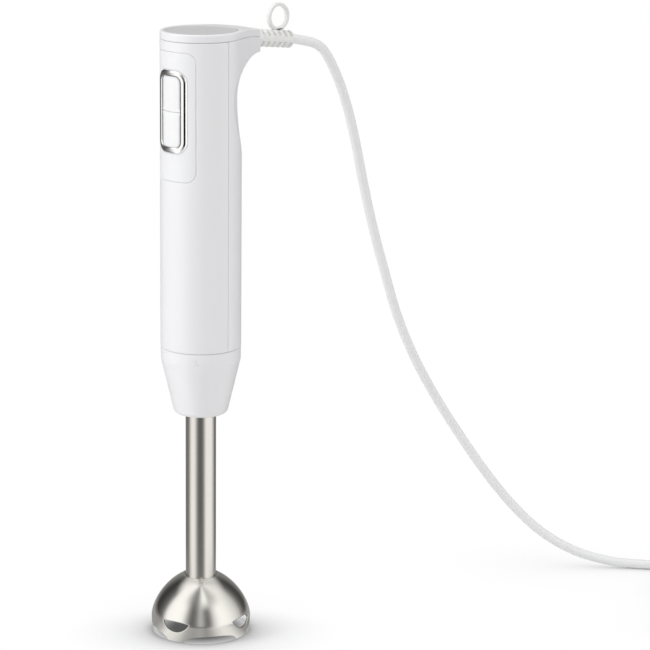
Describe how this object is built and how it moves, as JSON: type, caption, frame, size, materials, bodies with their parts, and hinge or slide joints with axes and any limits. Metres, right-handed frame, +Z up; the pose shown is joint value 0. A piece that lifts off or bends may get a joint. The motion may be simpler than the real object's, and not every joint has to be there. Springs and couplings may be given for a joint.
{
  "type": "immersion blender",
  "caption": "Corded stick blender: a waisted motor handle with stacked push buttons lifts off a steel shaft that ends in a vented bell over a blade.",
  "frame": {"origin": "centre of the bell's rim, on the drive axis and level with the surface that the rim stands on", "axes": "+Z up along the drive axis towards the handle, -Y towards the buttons, +Y towards the cord outlet"},
  "size_m": [0.2716, 0.3923, 0.4116],
  "materials": {
    "handle_white": "gloss",
    "panel_white": "satin",
    "button_white": "gloss",
    "inlay_grey": "satin",
    "bezel_chrome": "polished",
    "shaft_steel": "brushed",
    "bell_steel": "spun",
    "collar_white": "gloss",
    "relief_white": "satin",
    "cord_white": "satin",
    "plug_white": "satin",
    "pin_nickel": "polished",
    "tie_black": "matt",
    "frame_black": "matt",
    "bearing_steel": "polished",
    "lamination": "matt",
    "copper": "enamelled",
    "brass": "satin",
    "carbon": "matt",
    "turned_steel": "turned",
    "board_green": "satin",
    "plunger_red": "gloss",
    "capacitor_blue": "gloss",
    "dog_nylon": "satin",
    "bush_bronze": "satin",
    "seal_rubber": "matt",
    "screw_steel": "plated"
  },
  "bodies": {
    "foot": {"foot_collar": "collar_white", "shaft_tube": "shaft_steel", "bell_guard": "bell_steel", "upper_bush": "bush_bronze", "lower_bush": "bush_bronze", "shaft_seal": "seal_rubber", "power_cord": "cord_white", "cord_coil": "cord_white", "cord_tie": "tie_black", "cord_tail": "cord_white", "plug_body": "plug_white", "plug_pins": "pin_nickel"},
    "spindle": {"drive_shaft": "turned_steel", "drive_socket": "dog_nylon", "blade": "shaft_steel", "blade_nut": "screw_steel", "circlip": "turned_steel"},
    "handle": {"front_housing": "handle_white", "rear_housing": "handle_white", "top_cap": "handle_white", "cap_inlay": "inlay_grey", "button_panel": "panel_white", "button_bezel": "bezel_chrome", "upper_spring": "turned_steel", "lower_spring": "turned_steel", "switch_board": "board_green", "upper_switch": "frame_black", "lower_switch": "frame_black", "capacitor": "capacitor_blue", "housing_screws": "screw_steel", "motor_base": "frame_black", "lower_bearing": "bearing_steel", "upper_bracket": "frame_black", "upper_bearing": "bearing_steel", "stator_core": "lamination", "field_coils": "copper", "brush_holders": "brass", "carbon_brushes": "carbon", "strain_relief": "relief_white", "cord_clamp": "frame_black", "clamp_screws": "screw_steel", "inner_lead": "cord_white"},
    "rotor": {"motor_shaft": "turned_steel", "armature_core": "lamination", "armature_windings": "copper", "commutator": "brass", "cooling_fan": "frame_black", "drive_dog": "dog_nylon"},
    "upper_button": {"upper_button": "button_white"},
    "lower_button": {"lower_button": "button_white"},
    "upper_plunger": {"upper_plunger": "plunger_red"},
    "lower_plunger": {"lower_plunger": "plunger_red"}
  },
  "joints": [
    {"name": "handle_lift", "type": "slide", "parent": "foot", "child": "handle", "axis": [0, 0, 1], "range_m": [0, 0.045]},
    {"name": "spindle_spin", "type": "hinge", "parent": "foot", "child": "spindle", "pos_m": [0, 0, 0.1], "axis": [0, 0, 1], "continuous": true},
    {"name": "rotor_spin", "type": "hinge", "parent": "handle", "child": "rotor", "pos_m": [0, 0, 0.25], "axis": [0, 0, 1], "continuous": true},
    {"name": "upper_press", "type": "slide", "parent": "handle", "child": "upper_button", "axis": [0, 1, 0], "range_m": [0, 0.0015], "stiffness_N_per_m": 1200, "springref_m": -0.001, "deforming": ["upper_spring"]},
    {"name": "lower_press", "type": "slide", "parent": "handle", "child": "lower_button", "axis": [0, 1, 0], "range_m": [0, 0.0015], "stiffness_N_per_m": 1200, "springref_m": -0.001, "deforming": ["lower_spring"]},
    {"name": "upper_click", "type": "slide", "parent": "handle", "child": "upper_plunger", "axis": [0, 1, 0], "range_m": [0, 0.0015]},
    {"name": "lower_click", "type": "slide", "parent": "handle", "child": "lower_plunger", "axis": [0, 1, 0], "range_m": [0, 0.0015]}
  ],
  "couplings": [
    {"joint": "spindle_spin", "follows": "rotor_spin", "ratio": 1},
    {"joint": "upper_click", "follows": "upper_press", "ratio": 1},
    {"joint": "lower_click", "follows": "lower_press", "ratio": 1}
  ]
}
